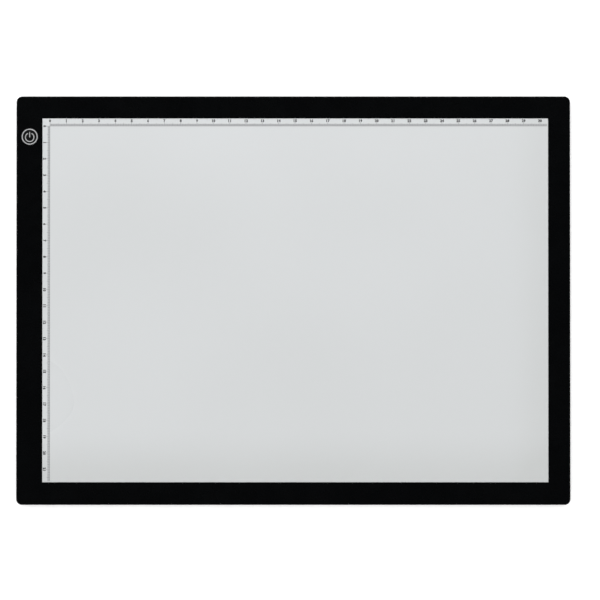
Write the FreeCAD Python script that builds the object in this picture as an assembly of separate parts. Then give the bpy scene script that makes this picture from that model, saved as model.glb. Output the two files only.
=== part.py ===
import FreeCAD, Part
import math
import os
from collections import namedtuple

from FreeCAD import Vector

# A slim LED light box for tracing, as an assembly of separate pieces.
#
# Millimetres. The origin is at the middle of the footprint, on the surface that the feet stand on.
# +X runs to the right along the long side, +Y towards the back edge, where the USB socket and the
# LEDs are, and +Z up out of the drawing surface.

Rect = namedtuple("Rect", "left right front back")

# ---- Case ----------------------------------------------------------------------------------

CASE_LENGTH = 339.0
CASE_WIDTH = 250.0
CASE_THICKNESS = 5.0
CASE_CORNER_RADIUS = 3.6
FOOT_STANDOUT = 0.8
CASE = Rect(-CASE_LENGTH / 2, CASE_LENGTH / 2, -CASE_WIDTH / 2, CASE_WIDTH / 2)

BEZEL_WALL = 1.2            # top wall of the front bezel
SIDE_WALL = 1.5
TOP_EDGE_ROUND = 0.5
COVER_FLOOR = 0.9
COVER_EDGE_ROUND = 0.45
PARTING_CHAMFER = 0.15      # on both shells, so that the joint line is a fine groove

LOCATING_LIP_GAP = 0.1      # between the back cover's lip and the bezel's side wall
LOCATING_LIP_WIDTH = 0.9
LOCATING_LIP_HEIGHT = 0.8

# ---- Window and drawing panel --------------------------------------------------------------

BORDER = Rect(15.9, 13.45, 13.8, 13.5)      # widths of the bezel's face, side by side
WINDOW = Rect(CASE.left + BORDER.left, CASE.right - BORDER.right,
              CASE.front + BORDER.front, CASE.back - BORDER.back)
WINDOW_CHAMFER = 0.12
PANEL_GAP = 0.1             # between the panel and the window's edge
PANEL_RECESS = 0.05         # of the panel's face below the bezel's face
RIM_LAP = 3.0               # of the panel's rim under the bezel's lip
RIM_LAP_AT_KEY = 1.2        # the same on the left, where the power key needs the room
RIM_THICKNESS = 0.5
RIM_CLEARANCE = 0.3         # between the rim's edge and the bezel's rebate
TAPE_THICKNESS = 0.1
TAPE_SETBACK = 0.2          # of the tape's inner edge from the window
TAPE_EDGE_GAP = 0.1

# ---- Light engine --------------------------------------------------------------------------

REFLECTOR_THICKNESS = 0.2
GUIDE_THICKNESS = 2.5
DIFFUSER_THICKNESS = 0.25
GUIDE_MARGIN = Rect(1.5, 3.1, 3.1, 3.5)     # of the light guide beyond the window, side by side
GUIDE = Rect(WINDOW.left - GUIDE_MARGIN.left, WINDOW.right + GUIDE_MARGIN.right,
             WINDOW.front - GUIDE_MARGIN.front, WINDOW.back + GUIDE_MARGIN.back)
EDGE_TAPE = 0.15
STOP_LENGTH = 14.0          # of the ribs that hold the light guide in place
STOP_THICKNESS = 0.8
STOP_HEIGHT = 1.6
STOP_GAP = 0.1
SIDE_STOPS_Y = (-70.0, 50.0)
FRONT_STOPS_X = (-90.0, 76.0)

LED_COUNT = 45
LED_PITCH = 6.8
LED_LENGTH = 3.0
LED_HEIGHT = 1.4
LED_DEPTH = 0.8
LED_GAP = 0.2               # between an LED's face and the light guide
LED_BOARD_LENGTH = 305.0
LED_BOARD_INSET = 5.4       # of the board's left end from the light guide's
LED_BOARD_THICKNESS = 1.0
LED_BOARD_HEIGHT = 2.6
LED_BOARD_LIFT = 0.05       # above the back cover's floor
LED_RIB_THICKNESS = 0.6

# ---- Screws and feet -----------------------------------------------------------------------

BOSS_RADIUS = 2.1
SEAT_RADIUS = 2.8
SEAT_HEIGHT = 0.6           # of the back cover's screw seats above its floor
SCREW_HEAD_RADIUS = 1.9
SCREW_HEAD_HEIGHT = 0.65
SCREW_HEAD_SINK = 0.05      # of the head below the back cover's outer face
SCREW_RADIUS = 1.0
SCREW_HEAD_ROUND = 0.2
SCREW_TIP_Z = 4.9
SCREW_TIP_CHAMFER = 0.4
PILOT_EXTRA_DEPTH = 0.1     # of the hole in the boss beyond the screw's tip
SCREW_FIT = 0.02            # radial, between the screw and its boss
SCREW_CLEARANCE = 0.15      # radial, in the back cover
RECESS_CLEARANCE = 0.2      # radial, around the head
CROSS_LENGTH = 2.2
CROSS_WIDTH = 0.5
CROSS_DEPTH = 0.4
SCREW_INSET = Rect(7.5, 5.7, 5.7, 4.6)      # of the screw rows from the case's edges
SCREW_PAST_BOARD = 18.5     # of the back row's first screw from the left edge
CASE_SCREWS = [
    (CASE.left + SCREW_INSET.left, CASE.front + SCREW_INSET.front),
    (0.0, CASE.front + SCREW_INSET.front),
    (CASE.right - SCREW_INSET.right, CASE.front + SCREW_INSET.front),
    (CASE.left + SCREW_INSET.left, 0.0),
    (CASE.right - SCREW_INSET.right, 0.0),
    (CASE.left + SCREW_PAST_BOARD, CASE.back - SCREW_INSET.back),
    (0.0, CASE.back - SCREW_INSET.back),
    (CASE.right - SCREW_INSET.right, CASE.back - SCREW_INSET.back),
]

FOOT_RADIUS = 5.0
FOOT_RECESS_DEPTH = 0.3
FOOT_RECESS_GAP = 0.2
FOOT_EDGE_ROUND = 0.3
FOOT_INSET_X = 20.0         # of the feet's middles from the case's short and long edges
FOOT_INSET_Y = 19.0
FOOT_X = {"left": CASE.left + FOOT_INSET_X, "middle": 0.0, "right": CASE.right - FOOT_INSET_X}
FOOT_Y = {"front": CASE.front + FOOT_INSET_Y, "back": CASE.back - FOOT_INSET_Y}

# ---- Control board -------------------------------------------------------------------------

BOARD_INSET = 2.8           # of its left edge from the case's
BOARD_WIDTH = 10.0
BOARD_LENGTH = 52.3
BOARD_BACK_INSET = 2.7
BOARD_LEFT = CASE.left + BOARD_INSET
BOARD_BACK = CASE.back - BOARD_BACK_INSET
BOARD = Rect(BOARD_LEFT, BOARD_LEFT + BOARD_WIDTH, BOARD_BACK - BOARD_LENGTH, BOARD_BACK)
BOARD_X = BOARD_LEFT + BOARD_WIDTH / 2      # the board's middle line, which its parts are placed from
BOARD_THICKNESS = 0.8
BOARD_STANDOFF = 0.3
BOARD_CORNER_RADIUS = 0.6
BOARD_SCREWS = [(BOARD_X - 2.7, 112.6), (BOARD_X, 73.4)]
BOARD_SCREW_RADIUS = 0.7
BOARD_SCREW_HEAD_RADIUS = 1.4
BOARD_SCREW_HEAD_HEIGHT = 0.6
BOARD_SCREW_HEAD_ROUND = 0.25
BOARD_SCREW_SLOT = (1.8, 0.35, 0.3)         # length, width and depth
BOARD_PILOT_Z = 1.1         # bottom of the screws' pilot holes in the back cover
BOARD_SCREW_END_GAP = 0.05
STANDOFF_RADIUS = 2.0
STANDOFF_PADS = [(BOARD_X, 97.0), (BOARD_X, 103.6), (BOARD_X - 3.4, 116.4), (BOARD_X + 3.4, 116.4),
                 (BOARD_X, 82.0)]
STANDOFF_PAD_SIZE = 2.4

USB_X = BOARD_X
USB_WIDTH = 7.5
USB_BASE_WIDTH = 5.6        # of the shell's narrow lower side
USB_HEIGHT = 2.45
USB_STRAIGHT = 1.25         # height of the shell's upright sides
USB_WALL = 0.25
USB_DEPTH = 5.5
USB_SETBACK = 0.4           # of the shell's mouth from the case's back face
USB_BOTTOM_Z = 1.95
USB_CUTOUT_GAP = 0.4
USB_CUTOUT_ROUND = 0.6
USB_NOTCH_GAP = 0.1
USB_BLOCK_DEPTH = 1.5
USB_TAB_WIDTH = 0.9         # of the four tabs that rest on the board
USB_TAB_REACH = 4.7         # from the socket's middle to the tabs' ends
USB_TAB_ROOT = 3.45
USB_TAB_Y = (1.2, 3.2)      # from the shell's back end
TONGUE_WIDTH = 3.7
TONGUE_THICKNESS = 0.6
TONGUE_LENGTH = 3.2
TONGUE_RISE = 0.05          # of its underside above the middle of the socket
CONTACT_COUNT = 5
CONTACT_PITCH = 0.65
CONTACT_WIDTH = 0.35
CONTACT_THICKNESS = 0.08
CONTACT_TIP_GAP = 0.3       # from the contacts' ends to the tongue's

# ---- Parts on the control board: size along X, Y and Z --------------------------------------

CHIP_SIZE = (4.9, 3.9, 1.4)
CHIP_AT = (BOARD_X, 91.4)
CHIP_LEG_WIDTH = 0.42
CHIP_LEG_THICKNESS = 0.2
CHIP_LEG_KNEE = 0.5         # from the package's side to the outside of the leg's bend
CHIP_LEG_REACH = 1.0
CHIP_LEG_PITCH = 1.27
CHIP_LEGS_PER_SIDE = 4
INDUCTOR_SIZE = (4.0, 4.0, 1.5)
INDUCTOR_AT = (BOARD_X, 84.6)
INDUCTOR_CORE_RADIUS = 1.1
INDUCTOR_WINDING_RADIUS = 1.8
INDUCTOR_LIP = 0.3
DIODE_SIZE = (1.6, 2.6, 1.0)
DIODE_AT = (BOARD_X - 3.2, 84.6)
CAPACITOR_SIZE = (1.25, 2.0, 0.85)
CAPACITORS_AT = [(BOARD_X - 3.7, 92.0), (BOARD_X + 3.7, 92.0), (BOARD_X - 3.7, 78.8),
                 (BOARD_X + 3.7, 84.6)]
RESISTOR_SIZE = (0.8, 1.6, 0.45)
RESISTORS_AT = [(BOARD_X + 3.8, 79.6), (BOARD_X + 2.0, 79.6), (BOARD_X + 0.2, 79.6),
                (BOARD_X - 1.6, 79.6), (BOARD_X + 3.2, 104.8)]
DIODE_CAP = 0.35            # length of each metal end cap
CAPACITOR_CAP = 0.4
RESISTOR_CAP = 0.3

CONNECTOR_SIZE = (3.6, 2.6, 1.5)
CONNECTOR_AT = (BOARD_X + 2.0, 109.2)
CONNECTOR_MOUTH_RADIUS = 0.45
CONNECTOR_MOUTH_DEPTH = 0.5
LEAD_RADIUS = 0.35
LEAD_EXIT_Z = 3.5
LEAD_BEND_SHARE = 0.45      # of the shorter of two runs that the arc between them takes up
# Each lead runs from the floor of its mouth in the connector round to the end of the LED board.
RED_LEAD_X = BOARD_X + 1.3
RED_LEAD_ROUTE = [(RED_LEAD_X, 113.6, 3.6), (BOARD_X + 2.6, 116.5, 4.0), (BOARD_X + 6.2, 117.0, 4.0)]
RED_LEAD_END_Z = 3.98
BLACK_LEAD_X = BOARD_X + 2.7
BLACK_LEAD_ROUTE = [(BLACK_LEAD_X, 113.0, 3.4), (BOARD_X + 4.0, 116.3, 3.18),
                    (BOARD_X + 6.7, 117.0, 3.18)]
BLACK_LEAD_END_Z = 3.18

# ---- Power key and its switch --------------------------------------------------------------

KEY_X = CASE.left + 8.1
KEY_Y = CASE.back - 24.7
KEY_RADIUS = 5.2
KEY_HOLE_RADIUS = 5.35
KEY_HOLE_CHAMFER = 0.12
KEY_EDGE_ROUND = 0.15
KEY_FLANGE_RADIUS = 6.3
KEY_FLANGE_FLAT = 5.5       # from the key's axis to the flat on the window's side
KEY_FLANGE_GAP = 0.05       # under the bezel's wall at rest
KEY_TRAVEL = 0.3
KEY_BOTTOM_GAP = 0.05       # between the key and the switch's cover at full travel
KEY_PLUNGER_GAP = 0.02      # between the key's underside and the plunger at rest

SWITCH_SIZE = 5.2
SWITCH_CORNER_RADIUS = 0.5
SWITCH_HEIGHT = 0.85        # of the moulded base
SWITCH_FLOOR = 0.15
SWITCH_WELL_RADIUS = 2.1
SWITCH_COVER_THICKNESS = 0.15
PLUNGER_RADIUS = 1.0
PLUNGER_HOLE_RADIUS = 1.1
PLUNGER_SHOULDER_RADIUS = 1.6
PLUNGER_SHOULDER = 0.2
PLUNGER_TOP_GAP = 0.03      # between the shoulder and the switch's cover at rest
DOME_RADIUS = 1.9
DOME_THICKNESS = 0.1
DOME_GAP = 0.02             # between the dome's crown and the plunger at rest
TERMINAL_SIZE = (0.9, 0.7, 0.15)
TERMINAL_OFFSET_Y = 1.85

# ---- Heights that follow from the above ----------------------------------------------------

Z_CASE_BOTTOM = FOOT_STANDOUT
Z_FLOOR = Z_CASE_BOTTOM + COVER_FLOOR
Z_GUIDE = Z_FLOOR + REFLECTOR_THICKNESS
Z_DIFFUSER = Z_GUIDE + GUIDE_THICKNESS
Z_PANEL = Z_DIFFUSER + DIFFUSER_THICKNESS
Z_TAPE = Z_PANEL + RIM_THICKNESS
Z_LIP = Z_TAPE + TAPE_THICKNESS
Z_CASE_TOP = Z_CASE_BOTTOM + CASE_THICKNESS
Z_PANEL_TOP = Z_CASE_TOP - PANEL_RECESS
Z_WALL = Z_CASE_TOP - BEZEL_WALL
Z_SEAT = Z_FLOOR + SEAT_HEIGHT
Z_BOARD = Z_FLOOR + BOARD_STANDOFF
Z_BOARD_TOP = Z_BOARD + BOARD_THICKNESS
Z_SWITCH_TOP = Z_BOARD_TOP + SWITCH_HEIGHT
Z_COVER_PLATE_TOP = Z_SWITCH_TOP + SWITCH_COVER_THICKNESS
Z_KEY_FLANGE_TOP = Z_WALL - KEY_FLANGE_GAP
Z_KEY_FLANGE = Z_COVER_PLATE_TOP + KEY_TRAVEL + KEY_BOTTOM_GAP
Z_PLUNGER_TOP = Z_KEY_FLANGE - KEY_PLUNGER_GAP

Y_LED_BOARD = GUIDE.back + LED_GAP + LED_DEPTH
Y_LED_TAPE = Y_LED_BOARD + LED_BOARD_THICKNESS
Y_LED_RIB = Y_LED_TAPE + TAPE_THICKNESS
X_LED_BOARD = GUIDE.left + LED_BOARD_INSET
USB_MOUTH_Y = CASE.back - USB_SETBACK


# ---- Shape helpers -------------------------------------------------------------------------

def grown(rect, by):
    """The rectangle with every side moved out by the same distance."""
    return Rect(rect.left - by, rect.right + by, rect.front - by, rect.back + by)


def block(rect, low, high):
    """An upright block over a rectangle, from one height to another."""
    corner = Vector(rect.left, rect.front, low)
    return Part.makeBox(rect.right - rect.left, rect.back - rect.front, high - low, corner)


def block_at(middle, size, low):
    """A block of a given size, centred on a point of the plan and standing on a height."""
    x, y = middle
    length, width, height = size
    corner = Vector(x - length / 2, y - width / 2, low)
    return Part.makeBox(length, width, height, corner)


def disc(middle, radius, low, high):
    x, y = middle
    return Part.makeCylinder(radius, high - low, Vector(x, y, low))


def upright_edges(shape):
    """The straight edges of a shape that run along Z."""
    found = []
    for edge in shape.Edges:
        ends = [vertex.Point for vertex in edge.Vertexes]
        if len(ends) == 2 and abs(ends[0].x - ends[1].x) < 1e-6 and abs(ends[0].y - ends[1].y) < 1e-6:
            found.append(edge)
    return found


def rounded_block(rect, low, high, radius):
    plain = block(rect, low, high)
    return plain.makeFillet(radius, upright_edges(plain))


def edges_at_height(shape, height):
    """The edges of a shape that lie wholly at one height."""
    found = []
    for edge in shape.Edges:
        box = edge.BoundBox
        if abs(box.ZMin - height) < 1e-6 and abs(box.ZMax - height) < 1e-6:
            found.append(edge)
    return found


def ring(outer, inner, low, high):
    return block(outer, low, high).cut(block(inner, low, high))


def outline_prism(points, start_y, depth):
    """A prism along Y with the given outline of (x, z) points."""
    corners = [Vector(x, start_y, z) for x, z in points]
    wire = Part.makePolygon(corners + corners[:1])
    return Part.Face(wire).extrude(Vector(0, depth, 0))


def fuse_all(first, others):
    return first.multiFuse(others).removeSplitter()


def cut_all(shape, tools):
    return shape.cut(Part.makeCompound(tools))


def save(name, shape):
    """Write one node's STEP file; a list of shapes is a group of separate solids."""
    if isinstance(shape, list):
        shape = Part.makeCompound(shape)
    for solid in shape.Solids:
        if not solid.isValid():
            raise ValueError(name + " has a solid that is not valid")
    shape.exportStep("parts/" + name + ".step")
    print(name, len(shape.Solids), round(shape.Volume, 3))


# ---- Casing --------------------------------------------------------------------------------

def rim_outline(extra):
    """The outline of the panel's rim, grown by a distance: narrow on the left, beside the key."""
    return Rect(WINDOW.left - RIM_LAP_AT_KEY - extra, WINDOW.right + RIM_LAP + extra,
                WINDOW.front - RIM_LAP - extra, WINDOW.back + RIM_LAP + extra)


def window_cutter():
    """The window itself, flared at the top by its small chamfer."""
    straight = block(WINDOW, Z_LIP, Z_CASE_TOP)
    outer = grown(WINDOW, WINDOW_CHAMFER)
    lower = rect_wire(WINDOW, Z_CASE_TOP - WINDOW_CHAMFER)
    upper = rect_wire(outer, Z_CASE_TOP)
    return straight.fuse(Part.makeLoft([lower, upper], True))


def rect_wire(rect, height):
    corners = [Vector(rect.left, rect.front, height), Vector(rect.right, rect.front, height),
               Vector(rect.right, rect.back, height), Vector(rect.left, rect.back, height)]
    return Part.makePolygon(corners + corners[:1])


def key_hole_cutter():
    """The key's hole through the bezel's top wall, with a small chamfer at its mouth."""
    hole = disc((KEY_X, KEY_Y), KEY_HOLE_RADIUS, Z_WALL, Z_CASE_TOP)
    mouth = Part.makeCone(KEY_HOLE_RADIUS, KEY_HOLE_RADIUS + KEY_HOLE_CHAMFER, KEY_HOLE_CHAMFER,
                          Vector(KEY_X, KEY_Y, Z_CASE_TOP - KEY_HOLE_CHAMFER))
    return hole.fuse(mouth)


def usb_cutout():
    """The opening in the back wall for the socket, rounded at its upper corners."""
    half = USB_WIDTH / 2 + USB_CUTOUT_GAP
    below = Z_FLOOR - USB_CUTOUT_ROUND * 2
    opening = Rect(USB_X - half, USB_X + half, CASE.back - SIDE_WALL, CASE.back)
    plain = block(opening, below, Z_WALL)
    lengthwise = []
    for edge in edges_at_height(plain, Z_WALL):
        if edge.BoundBox.XLength < 1e-6:
            lengthwise.append(edge)
    return plain.makeFillet(USB_CUTOUT_ROUND, lengthwise)


def front_bezel():
    shell = rounded_block(CASE, Z_FLOOR, Z_CASE_TOP, CASE_CORNER_RADIUS)
    shell = shell.makeFillet(TOP_EDGE_ROUND, edges_at_height(shell, Z_CASE_TOP))
    shell = shell.makeChamfer(PARTING_CHAMFER, edges_at_height(shell, Z_FLOOR))
    hollow = rounded_block(grown(CASE, -SIDE_WALL), Z_FLOOR, Z_WALL, CASE_CORNER_RADIUS - SIDE_WALL)
    rebate = block(rim_outline(RIM_CLEARANCE), Z_WALL, Z_LIP)
    shell = cut_all(shell, [hollow])
    shell = fuse_all(shell, [disc(spot, BOSS_RADIUS, Z_SEAT, Z_WALL) for spot in CASE_SCREWS])
    pilot_holes = [disc(spot, SCREW_RADIUS + SCREW_FIT, Z_SEAT, SCREW_TIP_Z + PILOT_EXTRA_DEPTH)
                   for spot in CASE_SCREWS]
    for cutter in [rebate, window_cutter(), key_hole_cutter(), usb_cutout()] + pilot_holes:
        shell = shell.cut(cutter)
    return shell


def drawing_panel():
    face = block(grown(WINDOW, -PANEL_GAP), Z_PANEL, Z_PANEL_TOP)
    rim = block(rim_outline(0.0), Z_PANEL, Z_TAPE)
    return fuse_all(face, [rim])


def panel_tape():
    return ring(rim_outline(-TAPE_EDGE_GAP), grown(WINDOW, TAPE_SETBACK), Z_TAPE, Z_LIP)


def locating_lip():
    """The low upright lip on the back cover that centres it inside the bezel's walls."""
    outer = grown(CASE, -SIDE_WALL - LOCATING_LIP_GAP)
    outer_radius = CASE_CORNER_RADIUS - SIDE_WALL - LOCATING_LIP_GAP
    inner = grown(outer, -LOCATING_LIP_WIDTH)
    inner_radius = outer_radius - LOCATING_LIP_WIDTH
    top = Z_FLOOR + LOCATING_LIP_HEIGHT
    lip = rounded_block(outer, Z_FLOOR, top, outer_radius)
    lip = lip.cut(rounded_block(inner, Z_FLOOR, top, inner_radius))
    half = USB_WIDTH / 2 + 2 * USB_CUTOUT_GAP
    socket_gap = Rect(USB_X - half, USB_X + half, inner.back - LOCATING_LIP_WIDTH, CASE.back)
    return lip.cut(block(socket_gap, Z_FLOOR, top))


def guide_stops():
    """Short ribs that hold the light guide in place at its left, right and front edges."""
    inner = grown(GUIDE, EDGE_TAPE + STOP_GAP)
    outer = grown(inner, STOP_THICKNESS)
    footprints = []
    for y in SIDE_STOPS_Y:
        footprints.append(Rect(outer.left, inner.left, y, y + STOP_LENGTH))
        footprints.append(Rect(inner.right, outer.right, y, y + STOP_LENGTH))
    for x in FRONT_STOPS_X:
        footprints.append(Rect(x, x + STOP_LENGTH, outer.front, inner.front))
    return [block(footprint, Z_FLOOR, Z_FLOOR + STOP_HEIGHT) for footprint in footprints]


def led_rib():
    """The upright rib that the LED board is taped to."""
    top = Z_FLOOR + LED_BOARD_LIFT + LED_BOARD_HEIGHT
    span = Rect(X_LED_BOARD, X_LED_BOARD + LED_BOARD_LENGTH, Y_LED_RIB, Y_LED_RIB + LED_RIB_THICKNESS)
    return block(span, Z_FLOOR, top)


def board_supports():
    posts = [disc(spot, STANDOFF_RADIUS, Z_FLOOR, Z_BOARD) for spot in BOARD_SCREWS]
    pad = (STANDOFF_PAD_SIZE, STANDOFF_PAD_SIZE, BOARD_STANDOFF)
    return posts + [block_at(spot, pad, Z_FLOOR) for spot in STANDOFF_PADS]


def back_cover():
    plate = rounded_block(CASE, Z_CASE_BOTTOM, Z_FLOOR, CASE_CORNER_RADIUS)
    plate = plate.makeFillet(COVER_EDGE_ROUND, edges_at_height(plate, Z_CASE_BOTTOM))
    plate = plate.makeChamfer(PARTING_CHAMFER, edges_at_height(plate, Z_FLOOR))
    seats = [disc(spot, SEAT_RADIUS, Z_FLOOR, Z_SEAT) for spot in CASE_SCREWS]
    cover = fuse_all(plate, [locating_lip(), led_rib()] + guide_stops() + board_supports() + seats)

    head_top = Z_CASE_BOTTOM + SCREW_HEAD_SINK + SCREW_HEAD_HEIGHT
    cutters = []
    for spot in CASE_SCREWS:
        cutters.append(disc(spot, SCREW_HEAD_RADIUS + RECESS_CLEARANCE, Z_CASE_BOTTOM, head_top))
        cutters.append(disc(spot, SCREW_RADIUS + SCREW_CLEARANCE, head_top, Z_SEAT))
    for spot in BOARD_SCREWS:
        cutters.append(disc(spot, BOARD_SCREW_RADIUS + SCREW_FIT, BOARD_PILOT_Z, Z_BOARD))
    for spot in foot_places().values():
        recess_top = Z_CASE_BOTTOM + FOOT_RECESS_DEPTH
        cutters.append(disc(spot, FOOT_RADIUS + FOOT_RECESS_GAP, Z_CASE_BOTTOM, recess_top))
    for cutter in cutters:
        cover = cover.cut(cutter)
    return cover


def cross_recess(spot, low, high):
    """A cross-shaped driver recess, cut from one height to another."""
    height = high - low
    lengthwise = block_at(spot, (CROSS_LENGTH, CROSS_WIDTH, height), low)
    crosswise = block_at(spot, (CROSS_WIDTH, CROSS_LENGTH, height), low)
    return lengthwise.fuse(crosswise)


def case_screw(spot):
    head_bottom = Z_CASE_BOTTOM + SCREW_HEAD_SINK
    head_top = head_bottom + SCREW_HEAD_HEIGHT
    head = disc(spot, SCREW_HEAD_RADIUS, head_bottom, head_top)
    head = head.makeFillet(SCREW_HEAD_ROUND, edges_at_height(head, head_bottom))
    shank = disc(spot, SCREW_RADIUS, head_top, SCREW_TIP_Z)
    shank = shank.makeChamfer(SCREW_TIP_CHAMFER, edges_at_height(shank, SCREW_TIP_Z))
    recess = cross_recess(spot, head_bottom, head_bottom + CROSS_DEPTH)
    return fuse_all(head, [shank]).cut(recess)


def foot_places():
    """Each foot's name and its place in the plan."""
    places = {}
    for row, y in FOOT_Y.items():
        for column, x in FOOT_X.items():
            places["foot_" + row + "_" + column] = (x, y)
    return places


def foot(spot):
    pad = disc(spot, FOOT_RADIUS, 0.0, Z_CASE_BOTTOM + FOOT_RECESS_DEPTH)
    return pad.makeFillet(FOOT_EDGE_ROUND, edges_at_height(pad, 0.0))


# ---- Light engine --------------------------------------------------------------------------

def edge_reflectors():
    """The three tapes on the light guide's unlit edges, by node name."""
    left = Rect(GUIDE.left - EDGE_TAPE, GUIDE.left, GUIDE.front, GUIDE.back)
    right = Rect(GUIDE.right, GUIDE.right + EDGE_TAPE, GUIDE.front, GUIDE.back)
    front = Rect(GUIDE.left, GUIDE.right, GUIDE.front - EDGE_TAPE, GUIDE.front)
    return {
        "edge_reflector_left": block(left, Z_GUIDE, Z_DIFFUSER),
        "edge_reflector_right": block(right, Z_GUIDE, Z_DIFFUSER),
        "edge_reflector_front": block(front, Z_GUIDE, Z_DIFFUSER),
    }


def led_board():
    low = Z_FLOOR + LED_BOARD_LIFT
    span = Rect(X_LED_BOARD, X_LED_BOARD + LED_BOARD_LENGTH, Y_LED_BOARD, Y_LED_TAPE)
    return block(span, low, low + LED_BOARD_HEIGHT)


def leds():
    middle_z = Z_GUIDE + GUIDE_THICKNESS / 2
    middle_y = GUIDE.back + LED_GAP + LED_DEPTH / 2
    board_middle = X_LED_BOARD + LED_BOARD_LENGTH / 2
    first_x = board_middle - LED_PITCH * (LED_COUNT - 1) / 2
    size = (LED_LENGTH, LED_DEPTH, LED_HEIGHT)
    row = []
    for index in range(LED_COUNT):
        row.append(block_at((first_x + index * LED_PITCH, middle_y), size, middle_z - LED_HEIGHT / 2))
    return row


def led_strip_tape():
    low = Z_FLOOR + LED_BOARD_LIFT
    span = Rect(X_LED_BOARD, X_LED_BOARD + LED_BOARD_LENGTH, Y_LED_TAPE, Y_LED_RIB)
    return block(span, low, low + LED_BOARD_HEIGHT)


def rounded_path(points):
    """A wire of straight runs through points, joined by arcs as wide as the runs leave room for."""
    edges = []
    last = points[0]
    for before, corner, after in zip(points, points[1:], points[2:]):
        towards = (before - corner).normalize()
        onward = (after - corner).normalize()
        half_turn = (math.pi - towards.getAngle(onward)) / 2
        reach = LEAD_BEND_SHARE * min((before - corner).Length, (after - corner).Length)
        radius = reach / math.tan(half_turn)
        bisector = (towards + onward).normalize()
        to_centre = radius / math.cos(half_turn)
        arc_start = corner + towards * reach
        arc_end = corner + onward * reach
        arc_middle = corner + bisector * (to_centre - radius)
        edges.append(Part.LineSegment(last, arc_start).toShape())
        edges.append(Part.Arc(arc_start, arc_middle, arc_end).toShape())
        last = arc_end
    edges.append(Part.LineSegment(last, points[-1]).toShape())
    return Part.Wire(edges)


def lead(exit_x, route, end_z):
    """One insulated lead, from inside the connector to the end of the LED board."""
    start = Vector(exit_x, connector_back() - CONNECTOR_MOUTH_DEPTH, LEAD_EXIT_Z)
    end = Vector(X_LED_BOARD, Y_LED_BOARD + LED_BOARD_THICKNESS / 2, end_z)
    points = [start] + [Vector(*point) for point in route] + [end]
    path = rounded_path(points)
    section = Part.Wire(Part.makeCircle(LEAD_RADIUS, start, points[1] - start))
    return path.makePipeShell([section], True, True)


# ---- Control board -------------------------------------------------------------------------

def control_board():
    board = rounded_block(BOARD, Z_BOARD, Z_BOARD_TOP, BOARD_CORNER_RADIUS)
    half = USB_WIDTH / 2 + USB_NOTCH_GAP
    notch = Rect(USB_X - half, USB_X + half, USB_MOUTH_Y - USB_DEPTH - USB_NOTCH_GAP, BOARD.back)
    board = board.cut(block(notch, Z_BOARD, Z_BOARD_TOP))
    for spot in BOARD_SCREWS:
        board = board.cut(disc(spot, BOARD_SCREW_RADIUS + SCREW_CLEARANCE, Z_BOARD, Z_BOARD_TOP))
    return board


def board_screw(spot):
    head_top = Z_BOARD_TOP + BOARD_SCREW_HEAD_HEIGHT
    head = disc(spot, BOARD_SCREW_HEAD_RADIUS, Z_BOARD_TOP, head_top)
    head = head.makeFillet(BOARD_SCREW_HEAD_ROUND, edges_at_height(head, head_top))
    shank = disc(spot, BOARD_SCREW_RADIUS, BOARD_PILOT_Z + BOARD_SCREW_END_GAP, Z_BOARD_TOP)
    slot = block_at(spot, BOARD_SCREW_SLOT, head_top - BOARD_SCREW_SLOT[2])
    return fuse_all(head, [shank]).cut(slot)


def usb_outline(inset):
    """The socket's outline moved in by a distance: wide above, its two lower corners cut back."""
    shoulder = USB_BOTTOM_Z + USB_HEIGHT - USB_STRAIGHT
    slope = math.atan2(shoulder - USB_BOTTOM_Z, (USB_WIDTH - USB_BASE_WIDTH) / 2)
    half = USB_WIDTH / 2 - inset
    base_half = USB_BASE_WIDTH / 2 - inset * math.tan(slope / 2)
    low = USB_BOTTOM_Z + inset
    high = USB_BOTTOM_Z + USB_HEIGHT - inset
    return [(USB_X - half, high), (USB_X - half, shoulder), (USB_X - base_half, low),
            (USB_X + base_half, low), (USB_X + half, shoulder), (USB_X + half, high)]


def usb_shell():
    back = USB_MOUTH_Y - USB_DEPTH
    outside = outline_prism(usb_outline(0.0), back, USB_DEPTH)
    inside = outline_prism(usb_outline(USB_WALL), back, USB_DEPTH)
    tab_size = (USB_TAB_REACH - USB_TAB_ROOT, USB_TAB_WIDTH, USB_WALL)
    tabs = []
    for side in (-1, 1):
        for offset in USB_TAB_Y:
            x = USB_X + side * (USB_TAB_ROOT + USB_TAB_REACH) / 2
            tabs.append(block_at((x, back + offset), tab_size, Z_BOARD_TOP))
    return fuse_all(outside.cut(inside), tabs)


def tongue_bottom_z():
    """The tongue lies in the upper half of the socket's mouth."""
    return USB_BOTTOM_Z + USB_HEIGHT / 2 + TONGUE_RISE


def usb_tongue():
    back = USB_MOUTH_Y - USB_DEPTH
    filler = outline_prism(usb_outline(USB_WALL), back, USB_BLOCK_DEPTH)
    start = back + USB_BLOCK_DEPTH
    blade = Rect(USB_X - TONGUE_WIDTH / 2, USB_X + TONGUE_WIDTH / 2, start, start + TONGUE_LENGTH)
    low = tongue_bottom_z()
    return fuse_all(filler, [block(blade, low, low + TONGUE_THICKNESS)])


def usb_contacts():
    start = USB_MOUTH_Y - USB_DEPTH + USB_BLOCK_DEPTH
    top = tongue_bottom_z()
    size = (CONTACT_WIDTH, TONGUE_LENGTH - CONTACT_TIP_GAP, CONTACT_THICKNESS)
    strips = []
    for index in range(CONTACT_COUNT):
        x = USB_X + (index - (CONTACT_COUNT - 1) / 2) * CONTACT_PITCH
        strips.append(block_at((x, start + size[1] / 2), size, top - CONTACT_THICKNESS))
    return strips


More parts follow.
